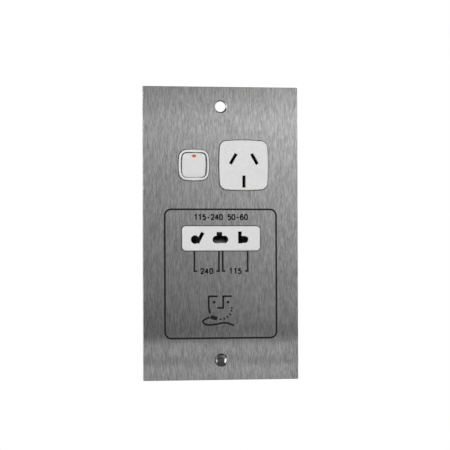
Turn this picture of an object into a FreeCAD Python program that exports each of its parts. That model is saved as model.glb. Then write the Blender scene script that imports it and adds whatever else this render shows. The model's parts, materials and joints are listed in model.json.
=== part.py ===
import FreeCAD, Part
import math
import os

# Flush shaver supply unit: a steel front plate with a switched three-pin outlet above and
# a multi-standard shaver outlet below, fed by an isolating transformer behind the plate.
# Millimetres, +Z up, front faces -Y. The origin is the middle of the plate's back face,
# which is the wall plane, so everything behind the wall has a positive Y.

V = FreeCAD.Vector
ALONG_X = V(1, 0, 0)
ALONG_Y = V(0, 1, 0)
ALONG_Z = V(0, 0, 1)

# Front plate
plate_w = 100.0
plate_h = 185.0
plate_t = 1.6
plate_corner_r = 0.8
plate_edge_break = 0.2
fixing_edge = 12.5    # from the middle of a fixing hole to the end of the plate
fixing_hole_d = 6.6
fixing_sink_d = 8.4

# Fixing screw left in the lower hole
fixing_screw_d = 3.5
fixing_head_d = 7.6
fixing_dome_h = 1.1
fixing_screw_l = 25.0
fixing_recess_w = 4.0
fixing_recess_t = 1.0
fixing_recess_depth = 1.5

# Clearances
panel_gap = 0.45      # round a moulded face in its cut-out in the plate
fit_gap = 0.15        # between mouldings that plug into each other
pocket_gap = 0.2      # round a metal piece in its pocket
screw_gap = 0.05      # round a screw, pin or stud in its hole
free_gap = 0.1        # round a screw or stud in a hole that it only passes through
run_gap = 0.25        # beside a piece that slides or turns

# Flanges, carrier and studs behind the plate
flange_t = 1.6
flange_lap = 1.8
flange_r = 3.5
carrier_t = 2.4
carrier_rim = 2.0
carrier_r = 4.0
stud_d = 3.0
stud_l = 9.0
stud_foot_d = 4.4
stud_foot_t = 0.7
stud_boss_r = 3.0
stud_spacing = 0.5
nut_flats = 5.5
nut_t = 2.4
tag_t = 0.8
tag_l = 9.0

# Moulded bases, their ears and the pillars that carry them
ear_r = 3.2
ear_t = 2.5
ear_lap = 1.0
pillar_h = 8.0
base_screw_d = 2.9
base_head_d = 5.2
base_head_t = 1.7
base_screw_l = 7.5

# Three-pin outlet
socket_x = 14.7
outlet_z = 43.0
socket_w = 31.7
socket_bow = 0.8
socket_r = 4.5
socket_proud = 1.6
socket_edge_r = 0.8
socket_front_t = 2.0
socket_side_t = 1.2
socket_base_w = 32.0
socket_base_h = 33.0
pin_side = 6.86
pin_up = 3.96
earth_down = 10.31
slot_l = 7.6
slot_t = 2.2
slot_tilt = 30.0

# Contact clips and terminals of the three-pin outlet
leaf_t = 0.5
leaf_w = 6.2
mouth_half = 1.7
pinch_half = 0.6
belly_half = 1.5
pinch_share = 0.3     # where a leaf is bent in, as a share of its length
belly_share = 0.6     # where it is straight again, as a share of the rest
clip_mouth_y = 3.0
clip_root_y = 13.4
terminal_w = 6.4
terminal_h = 6.8
terminal_back = 20.4
earth_terminal_up = 1.4
tunnel_d = 2.6
tunnel_inset = 2.8
terminal_screw_d = 3.0
terminal_head_d = 5.2
terminal_head_t = 1.6
terminal_slot_t = 0.8
terminal_wall = 2.4
access_hole_d = 6.0

# Switch
switch_x = -17.5
switch_w = 19.6
switch_bow = 0.9
switch_r = 5.0
switch_proud = 1.6
switch_edge_r = 0.6
rocker_w = 15.3
rocker_bow = 0.4
rocker_side_gap = 0.95
rocker_end_gap = 0.3
rocker_axis_y = 1.0
rocker_half_h = 7.9
rocker_corner_r = 2.6
rocker_front_reach = 3.8
rocker_back_reach = 0.8
rocker_skin = 1.7
rocker_end_skin = 2.0
rocker_edge_r = 0.5
rocker_tilt = 5.0
trunnion_d = 3.0
trunnion_l = 1.2
cheek_half = 2.4
stem_d = 5.4
stem_end_y = 8.4
stem_bore_d = 3.6
stem_bore_y = -1.4
plunger_back_y = 4.8
plunger_tip_y = 10.55
plunger_gap = 0.08
marker_w = 2.6
marker_h = 1.9
marker_up = 6.0
marker_depth = 0.9
well_wall = 1.0
well_back = 9.0
switch_base_w = 21.0
switch_base_h = 26.0

# Switch contacts
blade_gap = 0.15
blade_t = 0.8
blade_room_gap = 0.75
blade_w = 4.8
blade_up = 9.2
blade_down = 8.8
blade_tilt = 6.0
ridge_r = 0.8
ridge_gap = 0.1
tip_d = 3.0
tip_t = 1.0
tip_up = 7.4
load_tip_t = 0.8
touch_gap = 0.06
link_t = 0.8
link_h = 5.0

# Shaver outlet
shaver_z = -3.25
shaver_w = 50.4
shaver_h = 15.55
shaver_r = 2.5
shaver_proud = 1.4
shaver_edge_r = 0.9
shaver_front_t = 1.6
shaver_side_t = 1.3
left_hole_x = -17.0
left_hole_d = 5.4
hole_drop = 0.7
left_slot_x = -13.65
left_slot_up = 0.45
blade_slot_l = 7.5
blade_slot_t = 2.4
left_slot_tilt = 28.0
centre_x = -0.6
centre_w = 10.3
centre_h = 4.7
stem_slot_x = -1.3
stem_slot_w = 3.7
stem_slot_top = 4.05
right_slot_x = 12.0
right_slot_up = 0.6
right_hole_x = 15.3
right_hole_d = 4.4

# Shaver outlet base and contacts
shaver_base_w = 52.4
shaver_base_up = 8.0
shaver_base_down = 8.5
shaver_base_back = 21.0
chamber_half = 4.7
chamber_h = 9.0
side_root_half = 3.6
side_pinch_half = 0.9
side_leaf_w = 6.0
side_mouth_y = 6.0
side_root_y = 16.5
tag_w = 3.0
tag_strip_t = 0.8
tag_reach = 4.0
common_w = 7.2
common_up = 4.6
common_dip = 2.7
common_bend_y = 11.5
common_low_y = 7.6
common_lip_y = 5.4
common_lip_up = 1.5
room_wall = 1.8
room_gap = 0.75

# Plug slider that a pin pushes down to switch on the transformer
slider_w = 4.8
slider_head_w = 13.0
slider_head_t = 1.2
slider_depth = 4.2
ramp_rise = 2.2
slider_down = 12.0
overtravel = 0.7
slider_spring_rest = 6.4
bridge_w = 12.8
bridge_depth = 3.0
bridge_t = 0.8
bridge_up = 1.4
primary_tag_y = 19.0
primary_tag_w = 2.0

# Springs
rocker_spring_d = 3.0
slider_spring_d = 3.4
spring_wire_d = 0.45
spring_turns = 5

# Transformer
core_w = 48.0
core_h = 40.0
core_stack = 20.0
leg_w = 16.0
yoke_w = 8.0
leg_gap = 0.1
tube_wall = 1.0
cheek_t = 1.0
cheek_rim = 0.3
window_gap = 0.4
winding_r = 4.0
core_hole_d = 3.5
core_hole_inset = 3.6
core_drop = 1.0
winding_front_gap = 0.5
clamp_t = 1.0
clamp_w = 16.0
clamp_ear_h = 10.0
clamp_pillar_r = 3.5
clamp_spacing = 0.8
cutout_w = 14.0
cutout_h = 6.0
cutout_t = 4.0
cutout_r = 1.0

# Rear cover
cover_wall = 2.0
cover_gap = 2.5
cover_back_gap = 0.5
cover_edge_r = 1.5
cover_pillar_r = 3.5
cover_pillar_end = 36.0
cover_screw_d = 3.0
cover_screw_l = 18.0
cover_head_d = 5.6
cover_head_t = 1.9
cover_sink = 2.3
cover_top_gap = 1.5
vent_w = 2.4
vent_l = 26.0
vent_pitch = 6.0
vent_count = 9
lead_notch_w = 6.0
lead_notch_depth = 17.0

# Leads inside the unit
lead_d = 1.6
lead_bend_r = 2.0
lead_room = 2.3       # from what a lead leaves or passes to the middle of its next run
lead_jog = 6.0
tap_x = 9.0
lead_seat_gap = 0.05  # a lead's play in its terminal

# Places that follow from the sizes above
plate_front = -plate_t
carrier_front = flange_t
carrier_back = flange_t + carrier_t
pillar_top = carrier_back + pillar_h
fixing_z = plate_h / 2 - fixing_edge
reach = panel_gap + flange_lap

socket_front = plate_front - socket_proud
socket_floor = socket_front + socket_front_t
socket_hollow = socket_w - 2 * socket_side_t
socket_nose = socket_hollow - 2 * fit_gap
socket_ear_z = socket_base_h / 2 + ear_r
base_back = terminal_back + pocket_gap + terminal_wall
active_at = (socket_x - pin_side, outlet_z + pin_up)
neutral_at = (socket_x + pin_side, outlet_z + pin_up)
earth_at = (socket_x, outlet_z - earth_down)
tunnel_y = terminal_back - tunnel_inset
wire_y = tunnel_y - (tunnel_d - lead_d) / 2 + lead_seat_gap
screw_tip_y = wire_y + lead_d / 2 + lead_seat_gap

switch_front = plate_front - switch_proud
rocker_half_w = rocker_w / 2
rocker_turn_r = math.hypot(rocker_half_h, rocker_front_reach)
window_w = rocker_w + 2 * rocker_side_gap
window_half_h = rocker_half_h + 2 * rocker_end_gap
well_w = window_w + 2 * (trunnion_l + well_wall)
well_h = 2 * (window_half_h + well_wall)
well_r = rocker_corner_r + rocker_side_gap
rocker_front = rocker_axis_y - rocker_front_reach
switch_ear_z = switch_base_h / 2 + ear_r

blade_front = plunger_tip_y + blade_gap
blade_axis_y = blade_front + blade_t
tip_lean = (tip_up + tip_d / 2) * math.sin(math.radians(blade_tilt))
load_tip_front = blade_axis_y + tip_t + tip_lean + touch_gap
link_front = load_tip_front + load_tip_t
link_back = link_front + link_t

shaver_front = plate_front - shaver_proud
shaver_floor = shaver_front + shaver_front_t
shaver_nose_w = shaver_w - 2 * (shaver_side_t + fit_gap)
shaver_nose_h = shaver_h - 2 * (shaver_side_t + fit_gap)
shaver_ear_x = shaver_base_w / 2 + ear_r
pin_line_z = shaver_z - hole_drop
left_slot_end = left_slot_x + blade_slot_l / 2 * math.sin(math.radians(left_slot_tilt))
left_clip_x = (left_hole_x - left_hole_d / 2 + left_slot_end) / 2
right_clip_x = (right_slot_x - blade_slot_t / 2 + right_hole_x + right_hole_d / 2) / 2

slider_travel = ramp_rise + overtravel
slider_front_y = carrier_back + run_gap
slider_back_y = slider_front_y + slider_depth
ramp_low_z = pin_line_z - centre_h / 2 + run_gap
slider_head_z = ramp_low_z - slider_head_t
slider_head_half = slider_head_w / 2 + run_gap
slider_low_z = shaver_z - slider_down
bridge_z = slider_low_z + bridge_up
primary_top_z = bridge_z - slider_travel - touch_gap
slider_floor_z = slider_low_z - slider_spring_rest
room_half = bridge_w / 2 + room_gap
room_floor_z = primary_top_z - tag_strip_t
room_back_y = slider_back_y + slider_depth
block_low_z = slider_floor_z - room_wall

leg_half = leg_w / 2
window_span = (core_w - leg_w - 2 * yoke_w) / 2
winding_t = window_span - leg_gap - tube_wall - cheek_rim - window_gap
tube_half_x = leg_half + leg_gap + tube_wall
tube_half_y = core_stack / 2 + leg_gap + tube_wall
cheek_half_x = tube_half_x + winding_t + cheek_rim
cheek_half_y = tube_half_y + winding_t + cheek_rim
core_y = carrier_back + winding_front_gap + cheek_half_y
core_z = block_low_z - core_drop - core_h / 2
window_half_z = core_h / 2 - yoke_w
winding_back = core_y + cheek_half_y - cheek_rim
winding_side = cheek_half_x - cheek_rim
clamp_front = core_y - clamp_w / 2
clamp_pillar_x = core_w / 2 + clamp_t + clamp_spacing + clamp_pillar_r

socket_flange = socket_w + 2 * reach
stud_x = socket_x + socket_flange / 2 + stud_spacing + stud_boss_r
carrier_w = 2 * (stud_x + stud_boss_r + stud_spacing)
carrier_top = outlet_z + socket_ear_z + ear_r + stud_spacing
carrier_low = core_z - core_h / 2 - clamp_t - cover_gap - cover_wall
carrier_h = carrier_top - carrier_low
carrier_z = (carrier_top + carrier_low) / 2
cover_top = outlet_z - socket_ear_z - ear_r - cover_top_gap
cover_h = cover_top - carrier_low
cover_z = (cover_top + carrier_low) / 2
cover_back = winding_back + cutout_t + cover_back_gap + cover_wall
nut_corner_r = nut_flats / math.sqrt(3)
low_stud_x = carrier_w / 2 - cover_wall - nut_corner_r - stud_spacing
low_stud_z = core_z - window_half_z
cover_pillar_x = carrier_w / 2 - cover_wall - cover_pillar_r - fit_gap
cover_pillar_inset = cover_wall + cover_pillar_r + fit_gap
solder_y = shaver_base_back + tag_reach
lead_lane_y = winding_back + lead_room
lead_over_z = shaver_z + shaver_base_up + 2 * lead_room
studs_at = [(side * stud_x, outlet_z) for side in (-1, 1)]
studs_at += [(side * low_stud_x, low_stud_z) for side in (-1, 1)]
tag_at = studs_at[1]
base_ears_at = [(socket_x, outlet_z + side * socket_ear_z) for side in (-1, 1)]
base_ears_at += [(switch_x, outlet_z + side * switch_ear_z) for side in (-1, 1)]
base_ears_at += [(side * shaver_ear_x, shaver_z) for side in (-1, 1)]
clamp_pillars_at = [(side * clamp_pillar_x, core_z) for side in (-1, 1)]
cover_pillars_at = [(side * cover_pillar_x, z) for side in (-1, 1)
                    for z in (carrier_low + cover_pillar_inset, cover_top - cover_pillar_inset)]


# Plain shapes

def box(x0, x1, y0, y1, z0, z1):
    return Part.makeBox(x1 - x0, y1 - y0, z1 - z0, V(x0, y0, z0))


def rod_x(y, z, d, x0, x1):
    return Part.makeCylinder(d / 2, x1 - x0, V(x0, y, z), ALONG_X)


def rod_y(x, z, d, y0, y1):
    return Part.makeCylinder(d / 2, y1 - y0, V(x, y0, z), ALONG_Y)


def rod_z(x, y, d, z0, z1):
    return Part.makeCylinder(d / 2, z1 - z0, V(x, y, z0), ALONG_Z)


def edges_along_y(shape):
    return [e for e in shape.Edges if e.BoundBox.XLength + e.BoundBox.ZLength < 1e-6]


def edges_at_y(shape, y):
    return [e for e in shape.Edges if e.BoundBox.YLength < 1e-6 and abs(e.BoundBox.YMin - y) < 1e-6]


def slab(x, z, w, h, y0, y1, r=0.0):
    """A block with its corners rounded as seen from the front."""
    solid = box(x - w / 2, x + w / 2, y0, y1, z - h / 2, z + h / 2)
    return solid.makeFillet(r, edges_along_y(solid)) if r else solid


def bowed_slab(x, z, w, h, bow, y0, y1, r):
    """A block whose four sides bulge by bow, with rounded corners."""
    right, top = w / 2, h / 2
    corners = [(-right + bow, -top + bow), (right - bow, -top + bow),
               (right - bow, top - bow), (-right + bow, top - bow)]
    middles = [(0, -top), (right, 0), (0, top), (-right, 0)]
    edges = []
    for i, middle in enumerate(middles):
        ends = corners[i], corners[(i + 1) % 4]
        a, m, b = (V(x + u, y0, z + v) for u, v in (ends[0], middle, ends[1]))
        edges.append(Part.Arc(a, m, b).toShape())
    solid = Part.Face(Part.Wire(edges)).extrude(V(0, y1 - y0, 0))
    return solid.makeFillet(r, edges_along_y(solid))


def plan_strip(points, z0, z1):
    """A prism whose outline is given as (x, y) points."""
    wire = Part.makePolygon([V(x, y, z0) for x, y in points + points[:1]])
    return Part.Face(wire).extrude(V(0, 0, z1 - z0))


def side_strip(points, x0, x1):
    """A prism whose outline is given as (y, z) points."""
    wire = Part.makePolygon([V(x0, y, z) for y, z in points + points[:1]])
    return Part.Face(wire).extrude(V(x1 - x0, 0, 0))


def hexagon(x, z, flats, y0, y1):
    r = flats / math.sqrt(3)
    points = [V(x + r * math.cos(math.radians(60 * i)), y0, z + r * math.sin(math.radians(60 * i)))
              for i in range(7)]
    return Part.Face(Part.makePolygon(points)).extrude(V(0, y1 - y0, 0))


def fused(first, *others):
    return first.fuse(list(others)).removeSplitter()


def turned(shape, angle, centre, axis):
    shape.rotate(centre, axis, angle)
    return shape


def slotted_screw(x, z, d, tip_y, head_y, head_d, head_t, slot_width):
    """A screw along Y with its slotted head at the back."""
    screw = fused(rod_y(x, z, d, tip_y, head_y), rod_y(x, z, head_d, head_y, head_y + head_t))
    slot = slab(x, z, slot_width, head_d, head_y + head_t / 2, head_y + head_t)
    return screw.cut(slot)


def lead(points):
    """An insulated lead through the given points: straight runs joined by arcs that meet them smoothly."""
    points = [V(*point) for point in points]
    edges = []
    start = points[0]
    for before, corner, after in zip(points, points[1:], points[2:]):
        back = (before - corner).normalize()
        onward = (after - corner).normalize()
        half_angle = back.getAngle(onward) / 2
        trim = lead_bend_r / math.tan(half_angle)
        crown = lead_bend_r / math.sin(half_angle) - lead_bend_r
        arc_start = corner + back * trim
        arc_middle = corner + (back + onward).normalize() * crown
        arc_end = corner + onward * trim
        edges.append(Part.LineSegment(start, arc_start).toShape())
        edges.append(Part.Arc(arc_start, arc_middle, arc_end).toShape())
        start = arc_end
    edges.append(Part.LineSegment(start, points[-1]).toShape())
    ring = Part.Wire(Part.makeCircle(lead_d / 2, points[0], points[1] - points[0]))
    return Part.Wire(edges).makePipeShell([ring], True, False)


def coil_spring(mean_d, length):
    """A compression spring standing on z = 0."""
    rise = length - spring_wire_d
    helix = Part.Wire(Part.makeHelix(rise / spring_turns, rise, mean_d / 2))
    ring = Part.Wire(Part.makeCircle(spring_wire_d / 2, V(mean_d / 2, 0, 0), ALONG_Y))
    spring = helix.makePipeShell([ring], True, True)
    spring.translate(V(0, 0, spring_wire_d / 2))
    return spring


# Plate and what fastens it

def front_plate():
    plate = slab(0, 0, plate_w, plate_h, plate_front, 0, plate_corner_r)
    plate = plate.makeChamfer(plate_edge_break, edges_at_y(plate, plate_front))
    through = (plate_front - plate_t, plate_t)
    cuts = [bowed_slab(socket_x, outlet_z, socket_w + 2 * panel_gap, socket_w + 2 * panel_gap,
                       socket_bow, *through, socket_r + panel_gap),
            bowed_slab(switch_x, outlet_z, switch_w + 2 * panel_gap, switch_w + 2 * panel_gap,
                       switch_bow, *through, switch_r + panel_gap),
            slab(0, shaver_z, shaver_w + 2 * panel_gap, shaver_h + 2 * panel_gap,
                 *through, shaver_r + panel_gap)]
    sink_depth = (fixing_sink_d - fixing_hole_d) / 2
    for z in (-fixing_z, fixing_z):
        cuts.append(rod_y(0, z, fixing_hole_d, *through))
        cuts.append(Part.makeCone(fixing_sink_d / 2, fixing_hole_d / 2, sink_depth,
                                  V(0, plate_front, z), ALONG_Y))
    return plate.cut(cuts)


def fixing_screw():
    """Raised countersunk screw, turned about its own axis and given a cross recess."""
    z = -fixing_z
    rim_y = plate_front + (fixing_sink_d - fixing_head_d) / 2 - screw_gap
    top_y = rim_y - fixing_dome_h
    head_r, shank_r = fixing_head_d / 2, fixing_screw_d / 2
    dome_r = (head_r ** 2 + fixing_dome_h ** 2) / (2 * fixing_dome_h)
    half_angle = math.asin(head_r / dome_r) / 2
    half_way = V(dome_r * math.sin(half_angle), top_y + dome_r * (1 - math.cos(half_angle)), z)
    rim = V(head_r, rim_y, z)
    neck = V(shank_r, rim_y + head_r - shank_r, z)
    end = V(shank_r, fixing_screw_l, z)
    outline = [Part.Arc(V(0, top_y, z), half_way, rim).toShape()]
    corners = [rim, neck, end, V(0, fixing_screw_l, z), V(0, top_y, z)]
    outline += [Part.makeLine(a, b) for a, b in zip(corners, corners[1:])]
    screw = Part.Face(Part.Wire(outline)).revolve(V(0, 0, z), ALONG_Y, 360)
    floor_y = top_y + fixing_recess_depth
    arms = [slab(0, z, fixing_recess_w, fixing_recess_t, top_y, floor_y),
            slab(0, z, fixing_recess_t, fixing_recess_w, top_y, floor_y)]
    return screw.cut(arms)


def weld_studs():
    return [fused(rod_y(x, z, stud_d, 0, stud_l), rod_y(x, z, stud_foot_d, 0, stud_foot_t))
            for x, z in studs_at]


def stud_nuts():
    nuts = []
    for at in studs_at:
        seat = carrier_back + (tag_t if at == tag_at else 0)
        hole = rod_y(*at, stud_d + 2 * screw_gap, seat, seat + nut_t)
        nuts.append(hexagon(*at, nut_flats, seat, seat + nut_t).cut(hole))
    return nuts


def earth_tag():
    """Ring tag under one nut, with a tongue that rises along the carrier for the earth lead."""
    x, z = tag_at
    layer = (carrier_back, carrier_back + tag_t)
    tag = fused(rod_y(x, z, 2 * stud_boss_r, *layer),
                slab(x, z - tag_l / 2, stud_boss_r, tag_l, *layer))
    return tag.cut(rod_y(x, z, stud_d + 2 * screw_gap, *layer))


# Carrier and cover

def fixing_ways(start, end):
    """Room for the two fixing screws, where a short plate brings them up to the mouldings."""
    return [rod_y(0, z, fixing_screw_d + 2 * free_gap, start, end) for z in (-fixing_z, fixing_z)]


def module_carrier():
    carrier = slab(0, carrier_z, carrier_w, carrier_h, 0, carrier_back, carrier_r)
    tray = slab(0, carrier_z, carrier_w - 2 * carrier_rim, carrier_h - 2 * carrier_rim,
                0, carrier_front, carrier_r - carrier_rim)
    bosses = [rod_y(x, z, 2 * stud_boss_r, 0, carrier_front) for x, z in studs_at]
    pillars = [rod_y(x, z, 2 * ear_r, carrier_back, pillar_top) for x, z in base_ears_at]
    pillars += [rod_y(x, z, 2 * clamp_pillar_r, carrier_back, clamp_front) for x, z in clamp_pillars_at]
    pillars += [rod_y(x, z, 2 * cover_pillar_r, carrier_back, cover_pillar_end)
                for x, z in cover_pillars_at]
    carrier = fused(carrier.cut(tray), *bosses, *pillars)
    layer = (0, carrier_back)
    nose = socket_nose + 2 * fit_gap
    holes = [bowed_slab(socket_x, outlet_z, nose, nose, socket_bow, *layer, socket_r - socket_side_t),
             slab(switch_x, outlet_z, well_w + 2 * fit_gap, well_h + 2 * fit_gap, *layer, well_r + fit_gap),
             slab(0, shaver_z, shaver_nose_w + 2 * fit_gap, shaver_nose_h + 2 * fit_gap,
                  *layer, shaver_r - shaver_side_t)]
    for x, z in studs_at:
        holes.append(rod_y(x, z, stud_d + 2 * free_gap, *layer))
        holes.append(rod_y(x, z, stud_foot_d + 2 * free_gap, 0, stud_foot_t + screw_gap))
    for x, z in base_ears_at:
        holes.append(rod_y(x, z, base_screw_d + 2 * screw_gap, carrier_back, pillar_top))
    for x, z in clamp_pillars_at:
        holes.append(rod_y(x, z, base_screw_d + 2 * screw_gap, carrier_back, clamp_front))
    for x, z in cover_pillars_at:
        holes.append(rod_y(x, z, cover_screw_d + 2 * screw_gap,
                           cover_back - cover_sink - cover_screw_l, cover_pillar_end))
    return carrier.cut(holes + fixing_ways(0, carrier_back))


def rear_cover():
    """Moulded tub over the transformer, with vents in its back and bosses on the carrier's pillars."""
    tub = slab(0, cover_z, carrier_w, cover_h, carrier_back, cover_back, carrier_r)
    tub = tub.makeFillet(cover_edge_r, edges_at_y(tub, cover_back))
    tub = tub.cut(slab(0, cover_z, carrier_w - 2 * cover_wall, cover_h - 2 * cover_wall,
                       carrier_back, cover_back - cover_wall, carrier_r - cover_wall))
    tub = fused(tub, *[rod_y(x, z, 2 * cover_pillar_r, cover_pillar_end, cover_back - cover_wall)
                       for x, z in cover_pillars_at])
    cuts = []
    for x, z in cover_pillars_at:
        cuts.append(rod_y(x, z, cover_screw_d + 2 * free_gap, cover_pillar_end, cover_back))
        cuts.append(rod_y(x, z, cover_head_d + 2 * free_gap, cover_back - cover_sink, cover_back))
    first_vent = -vent_pitch * (vent_count - 1) / 2
    for i in range(vent_count):
        cuts.append(slab(first_vent + i * vent_pitch, core_z, vent_w, vent_l,
                         cover_back - cover_wall, cover_back))
    notch_half = lead_notch_w / 2
    for x in (primary_x(-1), neutral_at[0]):
        cuts.append(box(x - notch_half, x + notch_half, carrier_back, carrier_back + lead_notch_depth,
                        cover_top - cover_wall, cover_top))
    return tub.cut(cuts + fixing_ways(carrier_back, fixing_screw_l + free_gap))


def cover_screws():
    head_y = cover_back - cover_sink
    return [slotted_screw(x, z, cover_screw_d, head_y - cover_screw_l + fit_gap, head_y, cover_head_d,
                          cover_head_t, terminal_slot_t) for x, z in cover_pillars_at]


def base_screws():
    head_y = pillar_top + ear_t
    return [slotted_screw(x, z, base_screw_d, head_y - base_screw_l, head_y, base_head_d,
                          base_head_t, terminal_slot_t) for x, z in base_ears_at]


def with_ears(base, places):
    """Adds the two screw ears that sit on the carrier's pillars, each on a tongue from the base."""
    layer = (pillar_top, pillar_top + ear_t)
    middle = V(places[0][0] + places[1][0], 0, places[0][1] + places[1][1]) * 0.5
    tongue_l = ear_r + ear_lap
    ears = []
    for x, z in places:
        inward = (middle - V(x, 0, z)).normalize()
        tongue_w = 2 * ear_r + abs(inward.x) * (tongue_l - 2 * ear_r)
        tongue_h = 2 * ear_r + abs(inward.z) * (tongue_l - 2 * ear_r)
        tongue = slab(x + inward.x * tongue_l / 2, z + inward.z * tongue_l / 2, tongue_w, tongue_h, *layer)
        ear = fused(rod_y(x, z, 2 * ear_r, *layer), tongue)
        ears.append(ear.cut(rod_y(x, z, base_screw_d + 2 * free_gap, *layer)))
    return fused(base, *ears)


# Three-pin outlet

def pin_slot(x, z, tilt):
    slot = slab(x, z, slot_t, slot_l, socket_front - slot_t, socket_floor + slot_t)
    return turned(slot, tilt, V(x, 0, z), ALONG_Y)


def pin_places():
    return [(active_at, slot_tilt), (neutral_at, -slot_tilt), (earth_at, 0.0)]


def moulded_face(shell, hollow, flange):
    """A front moulding: a proud shell on a flange that the plate traps."""
    return fused(shell, flange).cut(hollow)


def socket_face():
    shell = bowed_slab(socket_x, outlet_z, socket_w, socket_w, socket_bow, socket_front, 0, socket_r)
    shell = shell.makeFillet(socket_edge_r, edges_at_y(shell, socket_front))
    flange = slab(socket_x, outlet_z, socket_flange, socket_flange, 0, flange_t, flange_r)
    hollow = bowed_slab(socket_x, outlet_z, socket_hollow, socket_hollow, socket_bow,
                        socket_floor, flange_t, socket_r - socket_side_t)
    face = moulded_face(shell, hollow, flange)
    return face.cut([pin_slot(*at, tilt) for at, tilt in pin_places()])


def terminal_place(at):
    return (at[0], at[1] + earth_terminal_up) if at == earth_at else at


def clip_room(at, tilt):
    """The pocket for one contact: its clip, turned with the slot, and its square terminal."""
    x, z = at
    layer = (socket_floor, terminal_back + pocket_gap)
    clip = slab(x, z, 2 * (mouth_half + leaf_t + pocket_gap), leaf_w + 2 * pocket_gap, *layer)
    terminal = slab(*terminal_place(at), terminal_w + 2 * pocket_gap, terminal_h + 2 * pocket_gap, *layer)
    return fused(turned(clip, tilt, V(x, 0, z), ALONG_Y), terminal)


def wire_way(at):
    """The hole for a wire into a terminal: from above for the supply, from below for the leads."""
    x, z = terminal_place(at)
    low = z if at == active_at else outlet_z - socket_base_h / 2
    high = z if at == earth_at else outlet_z + socket_base_h / 2
    return rod_z(x, tunnel_y, tunnel_d + 2 * pocket_gap, low, high)


def socket_base():
    nose = bowed_slab(socket_x, outlet_z, socket_nose, socket_nose, socket_bow,
                      socket_floor, carrier_back, socket_r - socket_side_t - fit_gap)
    block = slab(socket_x, outlet_z, socket_base_w, socket_base_h, carrier_back, base_back, flange_r)
    base = with_ears(fused(nose, block), base_ears_at[0:2])
    cuts = []
    for at, tilt in pin_places():
        cuts.append(clip_room(at, tilt))
        cuts.append(wire_way(at))
        cuts.append(rod_y(*terminal_place(at), access_hole_d, terminal_back, base_back))
    cuts.append(link_way(socket_x - socket_base_w / 2, active_at[0] - terminal_w / 2))
    return base.cut(cuts)


def spring_leaf(side, mouth_y, root_y, mouth, pinch, belly):
    """One leaf of a contact clip, bent in to a pinch and out again, seen from above."""
    bend_y = mouth_y + (root_y - mouth_y) * pinch_share
    straight_y = bend_y + (root_y - bend_y) * belly_share
    inner = [(mouth, mouth_y), (pinch, bend_y), (belly, straight_y), (belly, root_y)]
    outer = [(u + leaf_t, y) for u, y in reversed(inner)]
    return [(side * u, y) for u, y in inner + outer]


def contact_clip(mouth_y, root_y, mouth, pinch, belly, width):
    """Two facing leaves joined at their root, centred on the origin."""
    leaves = [plan_strip(spring_leaf(side, mouth_y, root_y, mouth, pinch, belly), -width / 2, width / 2)
              for side in (-1, 1)]
    root = slab(0, 0, 2 * (belly + leaf_t), width, root_y, root_y + leaf_t)
    return fused(leaves[0], leaves[1], root)


def terminal(at, front_y):
    """A brass block with a tunnel for the wire and a hole for its screw."""
    x, z = at
    block = slab(x, z, terminal_w, terminal_h, front_y, terminal_back)
    tunnel = rod_z(x, tunnel_y, tunnel_d, z - terminal_h, z + terminal_h)
    hole = rod_y(x, z, terminal_screw_d + 2 * screw_gap, tunnel_y, terminal_back)
    return block, [tunnel, hole]


def outlet_contact(at, tilt):
    x, z = at
    clip = contact_clip(clip_mouth_y, clip_root_y, mouth_half, pinch_half, belly_half, leaf_w)
    clip.translate(V(x, 0, z))
    clip = turned(clip, tilt, V(x, 0, z), ALONG_Y)
    block, holes = terminal(terminal_place(at), clip_root_y)
    return fused(clip, block).cut(holes)


def terminal_screws():
    """The screws' tips hold a lead against the front wall of its tunnel."""
    head_y = terminal_back + run_gap
    places = [terminal_place(at) for at, tilt in pin_places()] + [(switch_x, outlet_z)]
    return [slotted_screw(x, z, terminal_screw_d, screw_tip_y, head_y, terminal_head_d, terminal_head_t,
                          terminal_slot_t) for x, z in places]


# Switch

def rocker_turning(shape, tilt=rocker_tilt):
    return turned(shape, tilt, V(switch_x, rocker_axis_y, outlet_z), ALONG_X)


def switch_window(y0, y1):
    return bowed_slab(switch_x, outlet_z, window_w, 2 * window_half_h, switch_bow, y0, y1, well_r)


def switch_frame():
    """Bezel, flange and well in one moulding. The window's ends follow the rocker's swing."""
    bezel = bowed_slab(switch_x, outlet_z, switch_w, switch_w, switch_bow, switch_front, 0, switch_r)
    bezel = bezel.makeFillet(switch_edge_r, edges_at_y(bezel, switch_front))
    flange_w = switch_w + 2 * reach
    flange = slab(switch_x, outlet_z, flange_w, flange_w, 0, flange_t, flange_r)
    well = slab(switch_x, outlet_z, well_w, well_h, 0, well_back, well_r)
    swing = rod_x(rocker_axis_y, outlet_z, 2 * (rocker_turn_r + rocker_end_gap),
                  switch_x - window_w, switch_x + window_w)
    front_cut = switch_window(switch_front - flange_t, rocker_axis_y).common(swing)
    back_cut = switch_window(rocker_axis_y, well_back)
    bearing_d = trunnion_d + 2 * screw_gap
    reach_x = window_w / 2 + trunnion_l
    bearings = rod_x(rocker_axis_y, outlet_z, bearing_d, switch_x - reach_x, switch_x + reach_x)
    return fused(bezel, flange, well).cut([front_cut, back_cut, bearings])


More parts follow.
